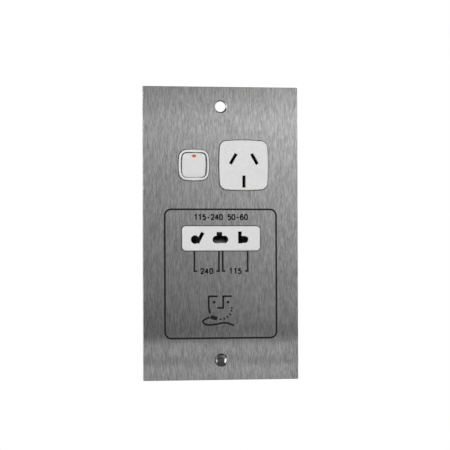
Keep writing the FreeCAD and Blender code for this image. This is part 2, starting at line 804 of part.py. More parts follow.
def switch_rocker():
    """Hollow paddle with a stem for the spring, on two trunnions. Modelled level, then tipped to on."""
    back_y = rocker_axis_y + rocker_back_reach
    paddle = bowed_slab(switch_x, outlet_z, rocker_w, 2 * rocker_half_h, rocker_bow,
                        rocker_front, back_y, rocker_corner_r)
    paddle = paddle.makeFillet(rocker_edge_r, edges_at_y(paddle, rocker_front))
    inside_half = rocker_half_w - rocker_skin
    floor_y = rocker_front + rocker_skin
    inside_h = 2 * (rocker_half_h - rocker_end_skin)
    hollow = slab(switch_x, outlet_z, 2 * inside_half, inside_h, floor_y, back_y)
    cheek_end = rocker_axis_y + trunnion_d / 2
    pieces = [rod_y(switch_x, outlet_z, stem_d, floor_y, stem_end_y)]
    for side in (-1, 1):
        cheek_x = switch_x + side * (rocker_half_w - rocker_skin / 2 - rocker_bow)
        pieces.append(slab(cheek_x, outlet_z, rocker_skin, 2 * cheek_half, floor_y, cheek_end))
        ends = sorted([switch_x + side * (rocker_half_w - rocker_skin),
                       switch_x + side * (window_w / 2 + trunnion_l - fit_gap)])
        pieces.append(rod_x(rocker_axis_y, outlet_z, trunnion_d, *ends))
    bore = rod_y(switch_x, outlet_z, stem_bore_d, stem_bore_y, stem_end_y)
    rocker = fused(paddle.cut(hollow), *pieces).cut([bore, marker_pocket()])
    return rocker_turning(rocker)


def marker_pocket():
    layer = (rocker_front, rocker_front + marker_depth)
    return round_slot(switch_x, outlet_z + marker_up, marker_w, marker_h, layer)


def on_marker():
    return rocker_turning(marker_pocket())


def rocker_plunger():
    d = stem_bore_d - 2 * plunger_gap
    straight_end = plunger_tip_y - d / 2
    pin = rod_y(switch_x, outlet_z, d, plunger_back_y, straight_end)
    tip = Part.makeSphere(d / 2, V(switch_x, straight_end, outlet_z))
    return rocker_turning(fused(pin, tip))


def rocker_spring():
    spring = coil_spring(rocker_spring_d - spring_wire_d, plunger_back_y - stem_bore_y - 2 * screw_gap)
    spring.rotate(V(0, 0, 0), ALONG_X, -90)
    spring.translate(V(switch_x, stem_bore_y + screw_gap, outlet_z))
    return rocker_turning(spring)


def blade_turning(shape):
    return turned(shape, -blade_tilt, V(switch_x, blade_axis_y, outlet_z), ALONG_X)


def rocking_contact():
    blade = box(switch_x - blade_w / 2, switch_x + blade_w / 2, blade_front, blade_axis_y,
                outlet_z - blade_down, outlet_z + blade_up)
    return blade_turning(blade)


def rocking_tip():
    return blade_turning(rod_y(switch_x, outlet_z + tip_up, tip_d, blade_axis_y, blade_axis_y + tip_t))


def load_tip():
    return rod_y(switch_x, outlet_z + tip_up, tip_d, load_tip_front, link_front)


def link_ends():
    return switch_x - blade_w / 2, active_at[0] - terminal_w / 2


def link_z():
    low = outlet_z + tip_up - link_h / 2
    return low, low + link_h


def load_link():
    """Brass strip from the switch's fixed contact across to the outlet's active terminal."""
    return box(*link_ends(), link_front, link_back, *link_z())


def link_way(x0, x1):
    low, high = link_z()
    return box(x0, x1, link_front - pocket_gap, link_back + pocket_gap, low - pocket_gap, high + pocket_gap)


def pivot_terminal():
    """Supply terminal of the switch, with a rounded ridge that the rocking contact tips on."""
    ridge_y = blade_axis_y + ridge_gap + ridge_r
    ridge = rod_x(ridge_y, outlet_z, 2 * ridge_r, switch_x - blade_w / 2, switch_x + blade_w / 2)
    post = box(switch_x - blade_w / 2, switch_x + blade_w / 2, ridge_y, link_back,
               outlet_z - ridge_r, outlet_z + ridge_r)
    block, holes = terminal((switch_x, outlet_z), link_back)
    return fused(ridge, post, block).cut(holes)


def switch_base():
    block = slab(switch_x, outlet_z, switch_base_w, switch_base_h, well_back, base_back, flange_r)
    base = with_ears(block, base_ears_at[2:4])
    room_up = blade_up + blade_t + run_gap
    room_w = blade_w + 2 * blade_room_gap
    cuts = [slab(switch_x, outlet_z, room_w, 2 * room_up, well_back, link_back),
            slab(switch_x, outlet_z, stem_d + 2 * rocker_side_gap, 2 * cheek_half + stem_d,
                 well_back, blade_axis_y),
            slab(switch_x, outlet_z, terminal_w + 2 * pocket_gap, terminal_h + 2 * pocket_gap,
                 link_back, terminal_back + pocket_gap),
            rod_y(switch_x, outlet_z, access_hole_d, terminal_back, base_back),
            rod_z(switch_x, tunnel_y, tunnel_d + 2 * pocket_gap, outlet_z - switch_base_h / 2, outlet_z),
            link_way(switch_x, switch_x + switch_base_w / 2)]
    return base.cut(cuts)


# Shaver outlet

def aperture_layer():
    return shaver_front - shaver_front_t, shaver_floor + shaver_front_t


def round_slot(x, z, length, height, layer):
    half = (length - height) / 2
    return fused(slab(x, z, 2 * half, height, *layer), *[rod_y(x + side * half, z, height, *layer)
                                                         for side in (-1, 1)])


def left_aperture(layer):
    """Round pin hole joined to a leaning flat-pin slot."""
    z = shaver_z + left_slot_up
    slot = slab(left_slot_x, z, blade_slot_t, blade_slot_l, *layer)
    slot = turned(slot, left_slot_tilt, V(left_slot_x, 0, z), ALONG_Y)
    return fused(rod_y(left_hole_x, pin_line_z, left_hole_d, *layer), slot)


def centre_aperture(layer):
    """Oval that takes any second pin, with a notch above it for flat pins."""
    notch = box(stem_slot_x - stem_slot_w / 2, stem_slot_x + stem_slot_w / 2, *layer,
                pin_line_z, shaver_z + stem_slot_top)
    return fused(round_slot(centre_x, pin_line_z, centre_w, centre_h, layer), notch)


def right_aperture(layer):
    """Upright flat-pin slot joined to a round pin hole."""
    slot = slab(right_slot_x, shaver_z + right_slot_up, blade_slot_t, blade_slot_l, *layer)
    neck = slab((right_slot_x + right_hole_x) / 2, pin_line_z, right_hole_x - right_slot_x,
                right_hole_d, *layer)
    return fused(slot, neck, rod_y(right_hole_x, pin_line_z, right_hole_d, *layer))


def shaver_face():
    shell = slab(0, shaver_z, shaver_w, shaver_h, shaver_front, 0, shaver_r)
    shell = shell.makeFillet(shaver_edge_r, edges_at_y(shell, shaver_front))
    flange = slab(0, shaver_z, shaver_w + 2 * reach, shaver_h + 2 * reach, 0, flange_t, flange_r)
    hollow = slab(0, shaver_z, shaver_w - 2 * shaver_side_t, shaver_h - 2 * shaver_side_t,
                  shaver_floor, flange_t, shaver_r - shaver_side_t)
    face = moulded_face(shell, hollow, flange)
    layer = aperture_layer()
    return face.cut([left_aperture(layer), centre_aperture(layer), right_aperture(layer)])


def shaver_base():
    """Contact block behind the shaver outlet, with the slider's guide and switch room below it."""
    nose = slab(0, shaver_z, shaver_nose_w, shaver_nose_h, shaver_floor, carrier_back,
                shaver_r - shaver_side_t - fit_gap)
    block = box(-shaver_base_w / 2, shaver_base_w / 2, carrier_back, shaver_base_back,
                shaver_z - shaver_base_down, shaver_z + shaver_base_up)
    room_shell_half = room_half + room_wall
    room_shell = box(centre_x - room_shell_half, centre_x + room_shell_half, carrier_back,
                     room_back_y + room_wall, block_low_z, shaver_z)
    base = with_ears(fused(nose, block, room_shell), base_ears_at[4:6])
    chamber_end = side_root_y + leaf_t
    cuts = []
    for x in (left_clip_x, right_clip_x):
        cuts.append(slab(x, shaver_z, 2 * chamber_half, chamber_h, shaver_floor, chamber_end))
        cuts.append(slab(x, shaver_z, tag_w + 2 * pocket_gap, tag_strip_t + 2 * pocket_gap,
                         chamber_end, shaver_base_back))
    low_z = pin_line_z - centre_h / 2
    cuts.append(box(centre_x - slider_head_half, centre_x + slider_head_half, shaver_floor, chamber_end,
                    low_z, shaver_z + common_up + leaf_t + pocket_gap))
    cuts.append(box(centre_x - slider_head_half, centre_x + slider_head_half, carrier_back,
                    slider_back_y + run_gap, slider_head_z - slider_travel - run_gap, low_z))
    cuts.append(slab(centre_x, shaver_z + common_up + leaf_t / 2, common_w + 2 * pocket_gap,
                     leaf_t + 2 * pocket_gap, chamber_end, shaver_base_back))
    guide_half = slider_w / 2 + run_gap
    cuts.append(box(centre_x - guide_half, centre_x + guide_half, carrier_back, slider_back_y + run_gap,
                    slider_floor_z, shaver_z))
    cuts.append(box(centre_x - room_half, centre_x + room_half, carrier_back, room_back_y,
                    room_floor_z, bridge_z + bridge_t + 2 * run_gap))
    for side in (-1, 1):
        cuts.append(slab(primary_x(side), room_floor_z + tag_strip_t / 2, primary_tag_w + 2 * pocket_gap,
                         tag_strip_t, room_back_y, room_back_y + room_wall))
    return base.cut(cuts)


def side_contact(x):
    """Wide clip behind an outer aperture, with a solder tag through the back of the base."""
    clip = contact_clip(side_mouth_y, side_root_y, side_root_half - leaf_t, side_pinch_half,
                        side_root_half - leaf_t, side_leaf_w)
    tag = slab(0, 0, tag_w, tag_strip_t, side_root_y, solder_y)
    contact = fused(clip, tag)
    contact.translate(V(x, 0, shaver_z))
    return contact


def common_contact():
    """Single leaf that bears down on the pin in the centre aperture."""
    high_z = shaver_z + common_up
    under = [(solder_y, high_z), (common_bend_y, high_z),
             (common_low_y, high_z - common_dip), (common_lip_y, high_z - common_dip + common_lip_up)]
    over = [(y, z + leaf_t) for y, z in reversed(under)]
    return side_strip(under + over, centre_x - common_w / 2, centre_x + common_w / 2)


def plug_slider():
    """Slider whose wide head has a ramp that a pin pushes down. A cross slot holds the bridging contact."""
    ramp_high_z = ramp_low_z + ramp_rise
    outline = [(slider_front_y, slider_head_z), (slider_back_y, slider_head_z),
               (slider_back_y, ramp_high_z), (slider_front_y, ramp_low_z)]
    head = side_strip(outline, centre_x - slider_head_w / 2, centre_x + slider_head_w / 2)
    stem = box(centre_x - slider_w / 2, centre_x + slider_w / 2, slider_front_y, slider_back_y,
               slider_low_z, slider_head_z)
    return fused(head, stem).cut(bridge_contact())


def bridge_contact():
    middle_y = (slider_front_y + slider_back_y) / 2
    return box(centre_x - bridge_w / 2, centre_x + bridge_w / 2, middle_y - bridge_depth / 2,
               middle_y + bridge_depth / 2, bridge_z, bridge_z + bridge_t)


def slider_spring():
    spring = coil_spring(slider_spring_d, slider_low_z - slider_floor_z - 2 * screw_gap)
    spring.translate(V(centre_x, (slider_front_y + slider_back_y) / 2, slider_floor_z + screw_gap))
    return spring


def primary_x(side):
    return centre_x + side * (bridge_w - primary_tag_w) / 2


def primary_blades():
    half = primary_tag_w / 2
    return [box(primary_x(side) - half, primary_x(side) + half, slider_front_y, primary_tag_y,
                room_floor_z, primary_top_z) for side in (-1, 1)]


# Transformer

def transformer_core():
    stack = (core_y - core_stack / 2, core_y + core_stack / 2)
    core = slab(0, core_z, core_w, core_h, *stack)
    cuts = [slab(side * (leg_half + window_span / 2), core_z, window_span, 2 * window_half_z, *stack)
            for side in (-1, 1)]
    hole_x, hole_up = core_w / 2 - core_hole_inset, core_h / 2 - core_hole_inset
    for side in (-1, 1):
        for up in (-1, 1):
            cuts.append(rod_y(side * hole_x, core_z + up * hole_up, core_hole_d, *stack))
    return core.cut(cuts)


def around_leg(half_x, half_y, z0, z1, r):
    """A block round the centre leg, rounded as seen from above."""
    block = box(-half_x, half_x, core_y - half_y, core_y + half_y, z0, z1)
    upright = [e for e in block.Edges if e.BoundBox.XLength + e.BoundBox.YLength < 1e-6]
    return block.makeFillet(r, upright)


def leg_hole(z0, z1):
    half_x, half_y = leg_half + leg_gap, core_stack / 2 + leg_gap
    return box(-half_x, half_x, core_y - half_y, core_y + half_y, z0, z1)


def cheek_levels():
    """Bottom edges of the bobbin's three cheeks."""
    low = core_z - window_half_z + leg_gap
    return low, core_z - cheek_t / 2, core_z + window_half_z - leg_gap - cheek_t


def winding_middle(section):
    levels = cheek_levels()
    return (levels[section] + cheek_t + levels[section + 1]) / 2


def bobbin():
    levels = cheek_levels()
    low, high = levels[0], levels[2] + cheek_t
    tube = around_leg(tube_half_x, tube_half_y, low, high, tube_wall)
    cheeks = [around_leg(cheek_half_x, cheek_half_y, z, z + cheek_t, winding_r) for z in levels]
    return fused(tube, *cheeks).cut(leg_hole(low, high))


def winding(section):
    levels = cheek_levels()
    z0, z1 = levels[section] + cheek_t, levels[section + 1]
    coil = around_leg(cheek_half_x - cheek_rim, cheek_half_y - cheek_rim, z0, z1, winding_r)
    return coil.cut(around_leg(tube_half_x, tube_half_y, z0, z1, tube_wall))


def core_clamp():
    """Folded strap round three sides of the core, with two ears on the carrier's pillars."""
    side_x, low_z = core_w / 2, core_z - core_h / 2
    layer = (clamp_front, clamp_front + clamp_w)
    outer = box(-side_x - clamp_t, side_x + clamp_t, *layer, low_z - clamp_t, core_z + core_h / 2)
    strap = outer.cut(box(-side_x, side_x, *layer, low_z, core_z + core_h / 2))
    ear_layer = (clamp_front, clamp_front + clamp_t)
    ear_end = clamp_pillar_x + clamp_pillar_r
    ears = []
    for side in (-1, 1):
        ends = sorted([side * side_x, side * ear_end])
        ear = box(*ends, *ear_layer, core_z - clamp_ear_h / 2, core_z + clamp_ear_h / 2)
        hole = rod_y(side * clamp_pillar_x, core_z, base_screw_d + 2 * free_gap, *ear_layer)
        ears.append(ear.cut(hole))
    strap = fused(strap, *ears)
    return strap.cut(slab(0, core_z, core_w, core_h, *layer))


def clamp_screws():
    head_y = clamp_front + clamp_t
    return [slotted_screw(x, z, base_screw_d, head_y - base_screw_l, head_y, base_head_d, base_head_t,
                          terminal_slot_t) for x, z in clamp_pillars_at]


def thermal_cutout():
    return slab(0, winding_middle(0), cutout_w, cutout_h, winding_back, winding_back + cutout_t, cutout_r)


# Leads

def active_lead():
    """From the switched strip, down behind the shaver base to the left primary blade."""
    x = primary_x(-1)
    down_y = link_back + lead_room
    behind_y = shaver_base_back + lead_room
    blade_z = primary_top_z - tag_strip_t / 2
    link_middle_z = sum(link_z()) / 2
    return lead([(x, link_back, link_middle_z), (x, down_y, link_middle_z), (x, down_y, lead_over_z),
                 (x, behind_y, lead_over_z), (x, behind_y, blade_z), (x, primary_tag_y, blade_z)])


def cutout_lead():
    """From the right primary blade, back and down to the thermal cut-out on the primary winding."""
    x = primary_x(1)
    blade_z = primary_top_z - tag_strip_t / 2
    return lead([(x, primary_tag_y, blade_z), (x, lead_lane_y, blade_z),
                 (x, lead_lane_y, winding_middle(0) + cutout_h / 2)])


def neutral_lead():
    """From the side of the primary winding, up behind the core and into the neutral terminal."""
    x, terminal_z = neutral_at
    winding_z = winding_middle(0)
    rise_y = core_y + core_stack / 2 + lead_d
    return lead([(winding_side, rise_y, winding_z), (x, rise_y, winding_z), (x, rise_y, lead_over_z),
                 (x, wire_y, lead_over_z), (x, wire_y, terminal_z)])


def earth_lead():
    """From the tag on the plate's stud, under the outlet's base and up into the earth terminal."""
    tag_x, stud_z = tag_at
    x, terminal_z = terminal_place(earth_at)
    tag_z = stud_z - tag_l + lead_room
    run_y = wire_y + 2 * lead_room
    run_z = cover_top + lead_room
    return lead([(tag_x, carrier_back + tag_t, tag_z), (tag_x, run_y, tag_z), (tag_x, run_y, run_z),
                 (x, run_y, run_z), (x, wire_y, run_z), (x, wire_y, terminal_z)])


def secondary_leads():
    """Three leads from the back of the secondary winding up to the solder tags of the shaver outlet."""
    winding_z = winding_middle(1)
    jog_z = core_z + core_h / 2
    leads = []
    for from_x, to_x in ((-tap_x, left_clip_x), (tap_x, right_clip_x)):
        leads.append(lead([(from_x, winding_back, winding_z), (from_x, lead_lane_y, winding_z),
                           (from_x, lead_lane_y, jog_z), (to_x, lead_lane_y, jog_z + lead_jog),
                           (to_x, lead_lane_y, shaver_z), (to_x, solder_y, shaver_z)]))
    common_z = shaver_z + common_up + leaf_t / 2
    leads.append(lead([(centre_x, winding_back, winding_z), (centre_x, lead_lane_y, winding_z),
                       (centre_x, lead_lane_y, common_z), (centre_x, solder_y, common_z)]))
    return leads


def all_pieces():
    return {
        "front_plate": front_plate(),
        "fixing_screw": fixing_screw(),
        "weld_studs": weld_studs(),
        "stud_nuts": stud_nuts(),
        "earth_tag": earth_tag(),
        "module_carrier": module_carrier(),
        "rear_cover": rear_cover(),
        "cover_screws": cover_screws(),
        "base_screws": base_screws(),
        "socket_face": socket_face(),
        "socket_base": socket_base(),
        "active_contact": outlet_contact(active_at, slot_tilt),
        "neutral_contact": outlet_contact(neutral_at, -slot_tilt),
        "earth_contact": outlet_contact(earth_at, 0.0),
        "terminal_screws": terminal_screws(),
        "switch_frame": switch_frame(),
        "switch_base": switch_base(),
        "switch_rocker": switch_rocker(),
        "on_marker": on_marker(),
        "rocker_plunger": rocker_plunger(),
        "rocker_spring": rocker_spring(),
        "rocking_contact": rocking_contact(),
        "rocking_tip": rocking_tip(),
        "pivot_terminal": pivot_terminal(),
        "load_link": load_link(),
        "load_tip": load_tip(),
        "shaver_face": shaver_face(),
        "shaver_base": shaver_base(),
        "left_contact": side_contact(left_clip_x),
        "right_contact": side_contact(right_clip_x),
        "common_contact": common_contact(),
        "plug_slider": plug_slider(),
        "bridge_contact": bridge_contact(),
        "slider_spring": slider_spring(),
        "primary_blades": primary_blades(),
        "transformer_core": transformer_core(),
        "bobbin": bobbin(),
        "primary_winding": winding(0),
        "secondary_winding": winding(1),
        "core_clamp": core_clamp(),
        "clamp_screws": clamp_screws(),
        "thermal_cutout": thermal_cutout(),
        "active_lead": active_lead(),
        "cutout_lead": cutout_lead(),
        "neutral_lead": neutral_lead(),
        "earth_lead": earth_lead(),
        "secondary_leads": secondary_leads(),
    }


os.makedirs("parts", exist_ok=True)
for name, piece in all_pieces().items():
    shape = Part.makeCompound(piece) if isinstance(piece, list) else piece
    state = "valid" if shape.isValid() else "INVALID"
    print(name, len(shape.Solids), "solids", round(shape.Volume, 1), "mm3", state)
    shape.exportStep(f"parts/{name}.step")
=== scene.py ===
import json
import math

import bmesh
import bpy
from mathutils import Matrix, Vector


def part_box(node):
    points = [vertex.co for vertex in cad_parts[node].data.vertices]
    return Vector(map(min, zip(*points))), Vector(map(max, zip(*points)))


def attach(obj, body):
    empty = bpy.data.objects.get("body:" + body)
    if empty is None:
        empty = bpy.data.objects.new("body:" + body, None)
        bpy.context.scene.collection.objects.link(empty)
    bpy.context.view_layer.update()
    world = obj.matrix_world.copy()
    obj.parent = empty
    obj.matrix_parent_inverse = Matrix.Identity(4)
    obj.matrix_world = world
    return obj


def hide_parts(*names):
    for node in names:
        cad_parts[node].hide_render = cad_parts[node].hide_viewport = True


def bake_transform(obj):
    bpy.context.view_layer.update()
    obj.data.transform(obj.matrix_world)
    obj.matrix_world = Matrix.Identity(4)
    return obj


# Looks of a flush shaver supply unit: materials for every CAD node, the printed legend on the plate,
# and a plain studio. The frame is in metres. Sizes on the plate are written in millimetres.

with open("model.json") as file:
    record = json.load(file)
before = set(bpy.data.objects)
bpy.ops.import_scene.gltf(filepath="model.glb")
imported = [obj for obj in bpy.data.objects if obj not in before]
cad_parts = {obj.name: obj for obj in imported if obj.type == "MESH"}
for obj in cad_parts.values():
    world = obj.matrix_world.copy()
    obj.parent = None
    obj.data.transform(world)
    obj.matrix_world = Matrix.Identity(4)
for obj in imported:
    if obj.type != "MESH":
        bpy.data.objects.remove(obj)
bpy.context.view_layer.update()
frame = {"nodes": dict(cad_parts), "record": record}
slots = {part["node"]: part["material_slot"] for part in frame["record"]["subparts"]}
MM = 0.001

# Printed legend, in millimetres on the front of the plate
print_t = 0.03
print_weld = 0.001
border_x = -0.16
border_half_w = 35.95
border_top = 15.1
border_low = -66.1
border_r = 4.0
border_line = 1.1
range_text = "115-240 50-60"
range_z = 10.2
range_cap_h = 3.3
range_pitch = 2.7
bracket_line = 1.1
bracket_top = -11.0
bracket_low = -23.85
bracket_tick = 1.7
bracket_pairs = [(-17.2, -1.39), (1.07, 17.25)]
bracket_texts = ["240", "115"]
bracket_cap_h = 3.2
bracket_pitch = 2.9
figure_line = 0.86

# Strokes of the printed figures, in shares of their height. Curved strokes are marked with True.
zero = [(0.29, 0.0), (0.5, 0.12), (0.57, 0.5), (0.5, 0.88), (0.29, 1.0),
        (0.08, 0.88), (0.01, 0.5), (0.08, 0.12), (0.29, 0.0)]
figure_strokes = {
    "0": [(True, zero)],
    "1": [(False, [(0.1, 0.78), (0.36, 0.98), (0.36, 0.0)])],
    "2": [(True, [(0.03, 0.72), (0.1, 0.92), (0.28, 1.0), (0.47, 0.92), (0.53, 0.72),
                  (0.42, 0.48), (0.05, 0.04)]),
          (False, [(0.0, 0.04), (0.57, 0.04)])],
    "4": [(False, [(0.42, 0.0), (0.42, 1.0)]), (False, [(0.42, 0.98), (0.03, 0.32), (0.6, 0.32)])],
    "5": [(False, [(0.52, 0.96), (0.12, 0.96), (0.06, 0.5)]),
          (True, [(0.06, 0.52), (0.28, 0.63), (0.5, 0.53), (0.55, 0.32), (0.47, 0.09),
                  (0.27, 0.0), (0.02, 0.16)])],
    "6": [(True, [(0.52, 0.84), (0.32, 1.0), (0.11, 0.84), (0.03, 0.45), (0.08, 0.13), (0.29, 0.0),
                  (0.5, 0.12), (0.56, 0.32), (0.48, 0.53), (0.3, 0.62), (0.12, 0.54), (0.04, 0.36)])],
    "-": [(False, [(0.08, 0.42), (0.5, 0.42)])],
    " ": [],
}
figure_w = 0.58

# Printed sign: a plain half-shaved face with a shaver on a lead
sign_line = 1.15
sign_brow_z = -39.75
sign_eye_d = 1.8
sign_eye_z = -43.45
sign_dot_d = 1.25
sign_left_brow = [(-8.42, sign_brow_z), (-2.22, sign_brow_z)]
sign_cheek = [(-8.07, sign_brow_z), (-8.07, -46.55), (-7.22, -50.45)]
sign_right_brow = [(0.88, sign_brow_z), (6.98, sign_brow_z)]
sign_nose = [(1.28, sign_brow_z), (1.28, -47.05), (-2.62, -47.05)]
sign_eyes_x = [-4.62, 4.38]
sign_stubble = [(6.78, -47.2), (6.48, -48.9), (5.78, -51.2),
                (3.93, -52.8), (1.98, -53.9), (-0.47, -54.3)]
sign_shaver = [(-6.6, -51.6), (-2.4, -52.7), (-3.0, -55.1), (-7.3, -53.7)]
sign_lead = [(-7.4, -52.9), (-10.75, -54.35), (-11.85, -55.85), (-9.35, -57.6),
             (-3.55, -57.4), (2.45, -56.4), (8.25, -58.2)]
curve_steps = 8
disc_sides = 24

# Textures of the finishes, in cells or bands to the metre
steel_grain = (1500.0, 1500.0, 200.0)
steel_scratches = (3400.0, 3400.0, 22.0)
metal_mottle = 600.0
metal_pits = 4000.0
plastic_mottle = 120.0
plastic_gloss = 700.0
plastic_sparks = 2500.0
core_sheets = 320.0
core_gloss = 300.0
tape_turns = 110.0
tape_gloss = 250.0
ink_speckle = 1800.0

# Metals: two colours that blend, and the lowest and highest roughness
metals = {
    "screw_chrome": [(0.14, 0.14, 0.14), (0.19, 0.19, 0.19), 0.08, 0.13],
    "plated_steel": [(0.5, 0.5, 0.47), (0.64, 0.63, 0.58), 0.25, 0.45],
    "contact_brass": [(0.6, 0.42, 0.16), (0.74, 0.54, 0.24), 0.2, 0.38],
    "contact_tinned": [(0.27, 0.27, 0.25), (0.38, 0.38, 0.36), 0.4, 0.55],
    "contact_silver": [(0.72, 0.72, 0.7), (0.82, 0.82, 0.8), 0.2, 0.35],
    "spring_steel": [(0.35, 0.35, 0.36), (0.5, 0.5, 0.5), 0.2, 0.35],
}

# Plastics: the same, and where it is not fine, the depth of the texture in millimetres
fine_sparks = 0.01
plastics = {
    "marker_red": [(0.58, 0.115, 0.03), (0.64, 0.145, 0.04), 0.3, 0.4],
    "carrier_grey": [(0.46, 0.46, 0.44), (0.485, 0.485, 0.465), 0.45, 0.6, 0.02],
    "base_black": [(0.02, 0.02, 0.02), (0.04, 0.04, 0.04), 0.4, 0.6, 0.02],
    "cover_grey": [(0.54, 0.54, 0.52), (0.565, 0.565, 0.545), 0.45, 0.6, 0.025],
    "slider_grey": [(0.66, 0.66, 0.66), (0.7, 0.7, 0.7), 0.4, 0.55],
    "bobbin_nylon": [(0.62, 0.58, 0.48), (0.68, 0.64, 0.54), 0.35, 0.5],
    "cutout_case": [(0.03, 0.03, 0.03), (0.05, 0.05, 0.05), 0.3, 0.45],
    "lead_red": [(0.42, 0.03, 0.025), (0.5, 0.04, 0.03), 0.3, 0.45],
    "lead_black": [(0.02, 0.02, 0.02), (0.035, 0.035, 0.035), 0.3, 0.45],
    "lead_white": [(0.66, 0.66, 0.63), (0.72, 0.72, 0.69), 0.3, 0.45],
}

# White mouldings: the lowest and highest roughness and the depth of texture of each, the colours of both,
# and how near another face must stand for painted shade to darken them, in millimetres
whites = {
    "white_face": [0.28, 0.42, fine_sparks],
    "white_rocker": [0.2, 0.32, 0.006],
}
white_low = (0.69, 0.69, 0.687)
white_high = (0.715, 0.715, 0.712)
# Painted shade in the gaps: how far it reaches, in millimetres, and how many rays find it
painted_shade_reach = 1.0
painted_shade_samples = 8

# Camera, from the places of the plate's corners and cut-outs in the photograph
camera_distance = 1500.0
camera_target = Vector((2.62, -1.6, 5.23))
camera_yaw = 12.35
camera_pitch = -0.8
camera_roll = -0.2
camera_lens = 190.06
sensor_w = 36.0

# Studio, in metres
pure_white = (1.0, 1.0, 1.0, 1.0)
sky_light = 0.34
floor_z = -0.16
floor_half = 4.0
floor_near = 0.1
floor_far = 0.28
floor_low = (0.83, 0.83, 0.83)
floor_high = (0.86, 0.86, 0.86)
floor_rough = 0.9
floor_mottle = 3.0

# Cards that the plate mirrors. Each tone stands with the height on the plate, in millimetres, where the
# camera sees it. The fall is the share by which the card is darker at the left and paler at the right,
# reached at the span to each side of the middle, in millimetres on the plate.
card_y = -0.2
card_half_w = 0.17
card_fall_span = 100.0
high_card_tones = [(-68.0, 0.22), (-58, 0.248), (-52, 0.28), (-41, 0.333), (-28, 0.365), (1, 0.465),
                   (38, 0.62), (71, 0.81), (92, 0.55), (150, 0.55)]
high_card_fall = 0.47
low_card_tones = [(-150, 0.47), (-91, 0.5), (-85, 0.64), (-83, 0.59), (-81.3, 0.32), (-78.5, 0.44),
                  (-76, 0.55), (-68.0, 0.58)]
low_card_fall = 0.2

# Dark level sheets over and under the object, as height and tone
flag_tones = {0.22: 0.03, -0.15: 0.3}
flag_half_w = 0.25
flag_near = -0.3
flag_far = 0.05

# Small bright upright cards, each to one side and shown in one piece alone
sparks = [
    dict(x=0.1, near=-0.1, far=-0.044, low=-0.135, top=-0.06, tone=6.5, shown_in="fixing_screw"),
    dict(x=-0.075, near=-0.115, far=-0.08, low=-0.14, top=-0.075, tone=4.5, shown_in="fixing_screw"),
    dict(x=-0.4, near=-0.13, far=-0.085, low=0.03, top=0.13, tone=5.0, shown_in="front_plate"),
]

# Square lamps that face the object. Those that are not mirrored leave no glare on the metal.
lamps = [
    dict(name="key_light", place=(-0.7, -1.8, 1.5), size=0.9, watts=36.5, mirrored=False),
    dict(name="fill_light", place=(1.8, -1.2, -0.25), size=0.4, watts=4.0, mirrored=False),
    dict(name="edge_light", place=(-1.2, -1.4, -0.5), size=0.4, watts=4.0, mirrored=False),
    dict(name="rear_light", place=(0.6, 1.8, 1.2), size=1.2, watts=24.0, mirrored=True),
]


# Node helpers

def blank_material(name):
    made = bpy.data.materials.new(name)
    made.use_nodes = True
    return made


def shader_of(made):
    return made.node_tree.nodes["Principled BSDF"]


def add_node(tree, kind, **settings):
    """Adds a node. Names of settings are the node's own properties."""
    node = tree.nodes.new(kind)
    for key, value in settings.items():
        setattr(node, key, value)
    return node


def stretched_noise(made, cells, detail=3.0, rough=0.55):
    """Noise with so many cells to the metre along X, Y and Z. Returns its value from 0 to 1."""
    tree = made.node_tree
    place = add_node(tree, "ShaderNodeTexCoord")
    stretch = add_node(tree, "ShaderNodeMapping")
    stretch.inputs["Scale"].default_value = cells
    noise = add_node(tree, "ShaderNodeTexNoise")
    noise.inputs["Scale"].default_value = 1.0
    noise.inputs["Detail"].default_value = detail
    noise.inputs["Roughness"].default_value = rough
    tree.links.new(place.outputs["Object"], stretch.inputs["Vector"])
    tree.links.new(stretch.outputs["Vector"], noise.inputs["Vector"])
    return noise.outputs["Fac"]


def even_noise(made, cells, detail=3.0):
    """Noise with as many cells to the metre in every direction."""
    return stretched_noise(made, (cells, cells, cells), detail)


def stripes(made, axis, per_metre, wobble):
    """Even bands across one axis. Returns a value from 0 to 1."""
    tree = made.node_tree
    place = add_node(tree, "ShaderNodeTexCoord")
    wave = add_node(tree, "ShaderNodeTexWave", bands_direction=axis)
    wave.inputs["Scale"].default_value = per_metre
    wave.inputs["Distortion"].default_value = wobble
    tree.links.new(place.outputs["Object"], wave.inputs["Vector"])
    return wave.outputs["Fac"]


def blend_colours(made, value, low, high, start=0.3, end=0.7):
    """Turns a value into a colour between two, and joins it to the shader."""
    tree = made.node_tree
    ramp = add_node(tree, "ShaderNodeValToRGB")
    stops = ramp.color_ramp.elements
    stops[0].position, stops[1].position = start, end
    stops[0].color = (*low, 1.0)
    stops[1].color = (*high, 1.0)
    tree.links.new(value, ramp.inputs["Fac"])
    base = shader_of(made).inputs["Base Color"]
    base.default_value = (*[(a + b) / 2 for a, b in zip(low, high)], 1.0)
    tree.links.new(ramp.outputs["Color"], base)


def vary_roughness(made, value, low, high):
    tree = made.node_tree
    spread = add_node(tree, "ShaderNodeMapRange")
    spread.inputs["To Min"].default_value = low
    spread.inputs["To Max"].default_value = high
    tree.links.new(value, spread.inputs["Value"])
    shader_of(made).inputs["Roughness"].default_value = (low + high) / 2
    tree.links.new(spread.outputs["Result"], shader_of(made).inputs["Roughness"])


def add_bump(made, value, depth_mm, strength):
    tree = made.node_tree
    bump = add_node(tree, "ShaderNodeBump")
    bump.inputs["Strength"].default_value = strength
    bump.inputs["Distance"].default_value = depth_mm * MM
    tree.links.new(value, bump.inputs["Height"])
    tree.links.new(bump.outputs["Normal"], shader_of(made).inputs["Normal"])


# Materials, one for each finish in the record

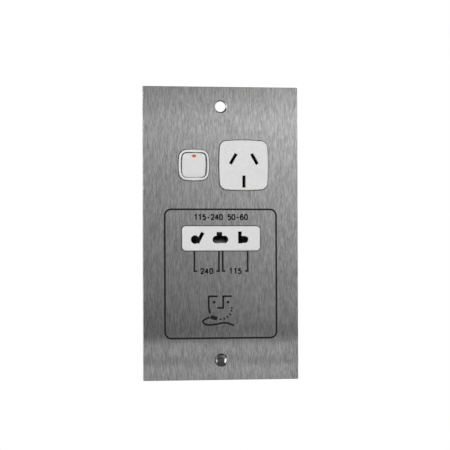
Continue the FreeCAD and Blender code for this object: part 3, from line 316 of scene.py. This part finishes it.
def brushed_steel():
    """Sheet with an upright grain, so that reflections spread sideways and stay crisp up and down."""
    made = blank_material("stainless")
    grain = stretched_noise(made, steel_grain, detail=6.0, rough=0.8)
    blend_colours(made, grain, (0.2, 0.2, 0.2), (0.75, 0.75, 0.745), 0.28, 0.72)
    add_bump(made, stretched_noise(made, steel_scratches), 0.004, 0.6)
    shader = shader_of(made)
    shader.inputs["Metallic"].default_value = 1.0
    shader.inputs["Roughness"].default_value = 0.17
    shader.inputs["Anisotropic"].default_value = 1.0
    tangent = add_node(made.node_tree, "ShaderNodeTangent", direction_type="RADIAL", axis="Z")
    made.node_tree.links.new(tangent.outputs["Tangent"], shader.inputs["Tangent"])
    return made


def plain_metal(name, low, high, rough_low, rough_high):
    made = blank_material(name)
    mottle = even_noise(made, metal_mottle, 4.0)
    blend_colours(made, mottle, low, high)
    vary_roughness(made, mottle, rough_low, rough_high)
    add_bump(made, even_noise(made, metal_pits), 0.01, 0.3)
    shader_of(made).inputs["Metallic"].default_value = 1.0
    return made


def moulded_plastic(name, low, high, rough_low, rough_high, spark_mm=fine_sparks):
    """Moulded plastic: a faint mottle in colour and gloss over a fine spark-eroded texture."""
    made = blank_material(name)
    blend_colours(made, even_noise(made, plastic_mottle), low, high)
    vary_roughness(made, even_noise(made, plastic_gloss), rough_low, rough_high)
    add_bump(made, even_noise(made, plastic_sparks), spark_mm, 0.35)
    return made


def white_with_painted_shade(name, rough_low, rough_high, spark_mm):
    """White moulding with painted shade: its colour darkens where other faces stand close, as in the gaps
    round the rocker.
    """
    made = moulded_plastic(name, white_low, white_high, rough_low, rough_high, spark_mm)
    tree = made.node_tree
    base = shader_of(made).inputs["Base Color"]
    # Painted shade: ambient occlusion darkens the base colour where other faces stand close
    shade = add_node(tree, "ShaderNodeAmbientOcclusion", samples=painted_shade_samples)
    shade.inputs["Distance"].default_value = painted_shade_reach * MM
    tree.links.new(base.links[0].from_socket, shade.inputs["Color"])
    tree.links.new(shade.outputs["Color"], base)
    return made


def laminated_iron():
    """Varnished sheets stacked front to back, with their edges showing as fine lines."""
    made = blank_material("core_iron")
    sheets = stripes(made, "Y", core_sheets, 0.4)
    blend_colours(made, sheets, (0.05, 0.045, 0.045), (0.15, 0.135, 0.13), 0.1, 0.8)
    vary_roughness(made, even_noise(made, core_gloss), 0.35, 0.6)
    add_bump(made, sheets, 0.08, 0.7)
    shader_of(made).inputs["Metallic"].default_value = 0.6
    return made


def taped_winding():
    """Amber tape wound over copper, with a line at each turn of the tape."""
    made = blank_material("winding_tape")
    turns = stripes(made, "Z", tape_turns, 0.6)
    blend_colours(made, turns, (0.48, 0.22, 0.05), (0.68, 0.38, 0.09), 0.05, 0.6)
    vary_roughness(made, even_noise(made, tape_gloss), 0.2, 0.4)
    add_bump(made, turns, 0.12, 0.6)
    return made


def striped_sleeve():
    """Green sleeve with a yellow stripe along it."""
    made = moulded_plastic("lead_green", (0.03, 0.27, 0.06), (0.04, 0.31, 0.07), 0.3, 0.45)
    tree = made.node_tree
    way = add_node(tree, "ShaderNodeNewGeometry")
    split = add_node(tree, "ShaderNodeSeparateXYZ")
    ramp = add_node(tree, "ShaderNodeValToRGB")
    stops = ramp.color_ramp.elements
    stops[0].position, stops[1].position = 0.55, 0.6
    stops[0].color = (0.035, 0.29, 0.065, 1.0)
    stops[1].color = (0.75, 0.58, 0.04, 1.0)
    tree.links.new(way.outputs["Normal"], split.inputs["Vector"])
    tree.links.new(split.outputs["X"], ramp.inputs["Fac"])
    tree.links.new(ramp.outputs["Color"], shader_of(made).inputs["Base Color"])
    return made


def printed_ink():
    made = blank_material("print_ink")
    speckle = even_noise(made, ink_speckle)
    blend_colours(made, speckle, (0.008, 0.008, 0.008), (0.02, 0.02, 0.02))
    vary_roughness(made, speckle, 0.6, 0.75)
    shader_of(made).inputs["Specular IOR Level"].default_value = 0.1
    return made


def make_materials():
    finishes = {
        "stainless": brushed_steel(),
        "core_iron": laminated_iron(),
        "winding_tape": taped_winding(),
        "lead_green": striped_sleeve(),
    }
    for table, make in ((metals, plain_metal), (plastics, moulded_plastic), (whites, white_with_painted_shade)):
        for name, look in table.items():
            finishes[name] = make(name, *look)
    return finishes


def dress_nodes():
    finishes = make_materials()
    for name, slot in slots.items():
        mesh = frame["nodes"][name].data
        mesh.materials.clear()
        mesh.materials.append(finishes[slot])


def spring_coil(node_name):
    """Stands for a spring's CAD node with a copy of its mesh, and hides the node."""
    node = frame["nodes"][node_name]
    mesh = node.data.copy()
    mesh.transform(node.matrix_world)
    coil = bpy.data.objects.new(node_name + "_coil", mesh)
    bpy.context.scene.collection.objects.link(coil)
    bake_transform(coil)
    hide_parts(node_name)


def coil_springs():
    for joint in frame["record"]["behaviour"]["joints"]:
        for spring in joint.get("deforming_nodes", []):
            spring_coil(spring["node"])


# Flat shapes on the plate, as lists of faces whose corners are (x, z) in millimetres

def ribbon(points, width, closed=False):
    """A line of even width through the points, with its corners mitred."""
    count = len(points)
    points = [Vector(point) for point in points]
    sides = []
    for i, point in enumerate(points):
        before = points[i - 1] if i or closed else None
        after = points[(i + 1) % count] if i + 1 < count or closed else None
        steps = [(before, point), (point, after)]
        ways = [(b - a).normalized() for a, b in steps if a is not None and b is not None]
        normals = [Vector((-way.y, way.x)) for way in ways]
        mitre = sum(normals, Vector((0.0, 0.0))).normalized()
        reach = width / 2 / mitre.dot(normals[0])
        sides.append((point + mitre * reach, point - mitre * reach))
    pairs = list(zip(sides, sides[1:] + sides[:1]))
    if not closed:
        pairs = pairs[:-1]
    return [[a[0], a[1], b[1], b[0]] for a, b in pairs]


def disc(centre, d):
    turns = [2 * math.pi * i / disc_sides for i in range(disc_sides)]
    return [[Vector(centre) + Vector((math.cos(t), math.sin(t))) * d / 2 for t in turns]]


def smooth(points):
    """Points on a curve that passes through the given ones."""
    points = [Vector(point) for point in points]
    padded = [points[0] * 2 - points[1]] + points + [points[-1] * 2 - points[-2]]
    curve = []
    for a, b, c, d in zip(padded, padded[1:], padded[2:], padded[3:]):
        for step in range(curve_steps):
            t = step / curve_steps
            curve.append(0.5 * (2 * b + (c - a) * t + (2 * a - 5 * b + 4 * c - d) * t ** 2
                                + (3 * b - a - 3 * c + d) * t ** 3))
    return curve + [points[-1]]


def rounded_border(half_w, low, high, r):
    corners = [(half_w - r, high - r, 0), (r - half_w, high - r, 90),
               (r - half_w, low + r, 180), (half_w - r, low + r, 270)]
    points = []
    for x, z, start in corners:
        for step in range(curve_steps + 1):
            angle = math.radians(start + 90 * step / curve_steps)
            points.append((x + r * math.cos(angle), z + r * math.sin(angle)))
    return points


def figure_faces(text, cap_h, pitch, x, z):
    """Faces of a line of plain figures in even strokes, centred on a point."""
    faces = []
    for i, figure in enumerate(text):
        left = x + (i - (len(text) - 1) / 2) * pitch - figure_w * cap_h / 2
        for curved, points in figure_strokes[figure]:
            line = [(left + u * cap_h, z + (v - 0.5) * cap_h) for u, v in points]
            faces += ribbon(smooth(line) if curved else line, figure_line)
    return faces


def printed_piece(name, faces, ink):
    """Lays faces on the front of the plate as a film of ink, and lets it ride on the housing."""
    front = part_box("front_plate")[0].y
    build = bmesh.new()
    for face in faces:
        build.faces.new([build.verts.new((x * MM, front, z * MM)) for x, z in face])
    bmesh.ops.remove_doubles(build, verts=build.verts, dist=print_weld * MM)
    raised = bmesh.ops.extrude_face_region(build, geom=build.faces[:])["geom"]
    lifted = [item for item in raised if isinstance(item, bmesh.types.BMVert)]
    bmesh.ops.translate(build, verts=lifted, vec=(0.0, -print_t * MM, 0.0))
    bmesh.ops.recalc_face_normals(build, faces=build.faces[:])
    mesh = bpy.data.meshes.new(name)
    build.to_mesh(mesh)
    build.free()
    mesh.materials.append(ink)
    piece = bpy.data.objects.new(name, mesh)
    bpy.context.scene.collection.objects.link(piece)
    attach(piece, "housing")


def bracket_faces():
    """Lines from under the shaver outlet to the figures, each pair with ticks that point inward."""
    faces = []
    for left, right in bracket_pairs:
        for x, way in ((left, 1), (right, -1)):
            line = [(x, bracket_top), (x, bracket_low), (x + way * bracket_tick, bracket_low)]
            faces += ribbon(line, bracket_line)
    return faces


def sign_faces():
    lines = [sign_left_brow, sign_cheek, sign_right_brow, sign_nose, smooth(sign_lead)]
    faces = [face for line in lines for face in ribbon(line, sign_line)]
    for x in sign_eyes_x:
        faces += disc((x, sign_eye_z), sign_eye_d)
    for place in sign_stubble:
        faces += disc(place, sign_dot_d)
    return faces + [[Vector(corner) for corner in sign_shaver]]


def print_legend():
    ink = printed_ink()
    outline = rounded_border(border_half_w, border_low, border_top, border_r)
    border = [(border_x + x, z) for x, z in outline]
    printed_piece("legend_border", ribbon(border, border_line, closed=True), ink)
    printed_piece("legend_range", figure_faces(range_text, range_cap_h, range_pitch, 0.0, range_z), ink)
    printed_piece("legend_brackets", bracket_faces(), ink)
    for text, (left, right) in zip(bracket_texts, bracket_pairs):
        faces = figure_faces(text, bracket_cap_h, bracket_pitch, (left + right) / 2, bracket_low)
        printed_piece("legend_figure_" + text, faces, ink)
    printed_piece("legend_sign", sign_faces(), ink)


# Studio

def camera():
    yaw, pitch, roll = (math.radians(a) for a in (camera_yaw, camera_pitch, camera_roll))
    ahead = Vector((math.sin(yaw) * math.cos(pitch), math.cos(yaw) * math.cos(pitch), -math.sin(pitch)))
    level = Vector((math.cos(yaw), -math.sin(yaw), 0.0))
    upright = level.cross(ahead)
    right = level * math.cos(roll) + upright * math.sin(roll)
    up = upright * math.cos(roll) - level * math.sin(roll)
    turn = Matrix((right, up, -ahead)).transposed()
    data = bpy.data.cameras.new("camera")
    data.lens = camera_lens
    data.sensor_width = sensor_w
    made = bpy.data.objects.new("camera", data)
    made.matrix_world = Matrix.Translation((camera_target - ahead * camera_distance) * MM) @ turn.to_4x4()
    bpy.context.scene.collection.objects.link(made)
    bpy.context.scene.camera = made


def seen_straight(tree):
    """A value that is 1 for what the camera, a reflection or clear glass looks at."""
    path = add_node(tree, "ShaderNodeLightPath")
    first = add_node(tree, "ShaderNodeMath", operation="MAXIMUM")
    both = add_node(tree, "ShaderNodeMath", operation="MAXIMUM")
    tree.links.new(path.outputs["Is Camera Ray"], first.inputs[0])
    tree.links.new(path.outputs["Is Glossy Ray"], first.inputs[1])
    tree.links.new(first.outputs["Value"], both.inputs[0])
    tree.links.new(path.outputs["Is Transmission Ray"], both.inputs[1])
    return both.outputs["Value"]


def white_world():
    world = bpy.data.worlds.new("studio")
    world.use_nodes = True
    bpy.context.scene.world = world
    tree = world.node_tree
    light = tree.nodes["Background"]
    light.inputs["Color"].default_value = pure_white
    light.inputs["Strength"].default_value = sky_light
    backdrop = add_node(tree, "ShaderNodeBackground")
    backdrop.inputs["Color"].default_value = pure_white
    mix = add_node(tree, "ShaderNodeMixShader")
    tree.links.new(seen_straight(tree), mix.inputs["Fac"])
    tree.links.new(light.outputs["Background"], mix.inputs[1])
    tree.links.new(backdrop.outputs["Background"], mix.inputs[2])
    tree.links.new(mix.outputs["Shader"], tree.nodes["World Output"].inputs["Surface"])


def stage_sheet(name, corners, made):
    mesh = bpy.data.meshes.new(name)
    mesh.from_pydata(corners, [], [(0, 1, 2, 3)])
    mesh.materials.append(made)
    sheet = bpy.data.objects.new(name, mesh)
    bpy.context.scene.collection.objects.link(sheet)
    return sheet


def show_in_reflections_only(sheet):
    sheet.visible_camera = False
    sheet.visible_diffuse = False
    sheet.visible_shadow = False


def floor():
    """Pale floor that takes the shadow near the object and fades to the white backdrop further out."""
    made = blank_material("floor")
    blend_colours(made, even_noise(made, floor_mottle), floor_low, floor_high)
    shader_of(made).inputs["Roughness"].default_value = floor_rough
    shader_of(made).inputs["Specular IOR Level"].default_value = 0.0
    tree = made.node_tree
    place = add_node(tree, "ShaderNodeTexCoord")
    far = add_node(tree, "ShaderNodeVectorMath", operation="LENGTH")
    fade = add_node(tree, "ShaderNodeMapRange", interpolation_type="SMOOTHSTEP")
    fade.inputs["From Min"].default_value = floor_near
    fade.inputs["From Max"].default_value = floor_far
    share = add_node(tree, "ShaderNodeMath", operation="MULTIPLY")
    white = add_node(tree, "ShaderNodeEmission")
    mix = add_node(tree, "ShaderNodeMixShader")
    tree.links.new(place.outputs["Object"], far.inputs[0])
    tree.links.new(far.outputs["Value"], fade.inputs["Value"])
    tree.links.new(fade.outputs["Result"], share.inputs[0])
    tree.links.new(seen_straight(tree), share.inputs[1])
    tree.links.new(share.outputs["Value"], mix.inputs["Fac"])
    tree.links.new(shader_of(made).outputs["BSDF"], mix.inputs[1])
    tree.links.new(white.outputs["Emission"], mix.inputs[2])
    tree.links.new(mix.outputs["Shader"], tree.nodes["Material Output"].inputs["Surface"])
    s = floor_half
    stage_sheet("floor", [(-s, -s, floor_z), (s, -s, floor_z), (s, s, floor_z), (-s, s, floor_z)], made)


def card_place(plate_mm, eye_along):
    """Place on a card, in metres, that the camera sees mirrored at a place on the plate, along X or Z."""
    slope = (plate_mm * MM - eye_along) / -bpy.context.scene.camera.location.y
    return plate_mm * MM - slope * card_y


def studio_card(name, tones, fall):
    """Graded card that shows only as a reflection. Its tones go upwards, paler to the right."""
    made = blank_material(name)
    tree = made.node_tree
    eye = bpy.context.scene.camera.location
    low, high = (card_place(tones[i][0], eye.z) for i in (0, -1))
    place = add_node(tree, "ShaderNodeTexCoord")
    split = add_node(tree, "ShaderNodeSeparateXYZ")
    height = add_node(tree, "ShaderNodeMapRange")
    height.inputs["From Min"].default_value = low
    height.inputs["From Max"].default_value = high
    ramp = add_node(tree, "ShaderNodeValToRGB")
    stops = ramp.color_ramp.elements
    while len(stops) < len(tones):
        stops.new(0.5)
    for stop, (plate_z, tone) in zip(stops, tones):
        stop.position = (card_place(plate_z, eye.z) - low) / (high - low)
        stop.color = (tone, tone, tone, 1.0)
    side = add_node(tree, "ShaderNodeMapRange")
    side.inputs["From Min"].default_value = card_place(-card_fall_span, eye.x)
    side.inputs["From Max"].default_value = card_place(card_fall_span, eye.x)
    side.inputs["To Min"].default_value = 1.0 - fall
    side.inputs["To Max"].default_value = 1.0 + fall
    glow = add_node(tree, "ShaderNodeEmission")
    tree.links.new(place.outputs["Object"], split.inputs["Vector"])
    tree.links.new(split.outputs["Z"], height.inputs["Value"])
    tree.links.new(split.outputs["X"], side.inputs["Value"])
    tree.links.new(height.outputs["Result"], ramp.inputs["Fac"])
    tree.links.new(ramp.outputs["Color"], glow.inputs["Color"])
    tree.links.new(side.outputs["Result"], glow.inputs["Strength"])
    tree.links.new(glow.outputs["Emission"], tree.nodes["Material Output"].inputs["Surface"])
    x = card_place(0.0, eye.x)
    left, right = x - card_half_w, x + card_half_w
    card = stage_sheet(name, [(left, card_y, low), (right, card_y, low),
                              (right, card_y, high), (left, card_y, high)], made)
    show_in_reflections_only(card)


def even_card(name, corners, tone):
    """Card of one tone that shows only as a reflection."""
    made = blank_material(name)
    tree = made.node_tree
    glow = add_node(tree, "ShaderNodeEmission")
    glow.inputs["Strength"].default_value = tone
    tree.links.new(glow.outputs["Emission"], tree.nodes["Material Output"].inputs["Surface"])
    card = stage_sheet(name, corners, made)
    show_in_reflections_only(card)
    return card


def show_in_one_piece(card, node_name):
    """Lets a card light a single piece, so that it leaves no band on the rest."""
    group = bpy.data.collections.new(card.name + "_shown_in")
    group.objects.link(frame["nodes"][node_name])
    card.light_linking.receiver_collection = group


def rim_cards():
    """Dark sheets over and under the object, and bright cards at its sides, for small rims to mirror."""
    w = flag_half_w
    for i, (z, tone) in enumerate(flag_tones.items()):
        corners = [(-w, flag_near, z), (w, flag_near, z), (w, flag_far, z), (-w, flag_far, z)]
        even_card("flag_%d" % i, corners, tone)
    for i, spark in enumerate(sparks):
        edges = [(spark["near"], spark["low"]), (spark["far"], spark["low"]),
                 (spark["far"], spark["top"]), (spark["near"], spark["top"])]
        card = even_card("spark_%d" % i, [(spark["x"], y, z) for y, z in edges], spark["tone"])
        show_in_one_piece(card, spark["shown_in"])


def softbox(name, place, size, watts, mirrored):
    lamp = bpy.data.lights.new(name, "AREA")
    lamp.shape = "SQUARE"
    lamp.size = size
    lamp.energy = watts
    made = bpy.data.objects.new(name, lamp)
    made.location = place
    made.rotation_euler = (-Vector(place)).to_track_quat("-Z", "Y").to_euler()
    made.visible_glossy = mirrored
    bpy.context.scene.collection.objects.link(made)


def studio():
    bpy.context.scene.view_settings.view_transform = "Standard"
    camera()
    white_world()
    floor()
    studio_card("high_card", high_card_tones, high_card_fall)
    studio_card("low_card", low_card_tones, low_card_fall)
    rim_cards()
    for lamp in lamps:
        softbox(**lamp)


dress_nodes()
coil_springs()
print_legend()
studio()
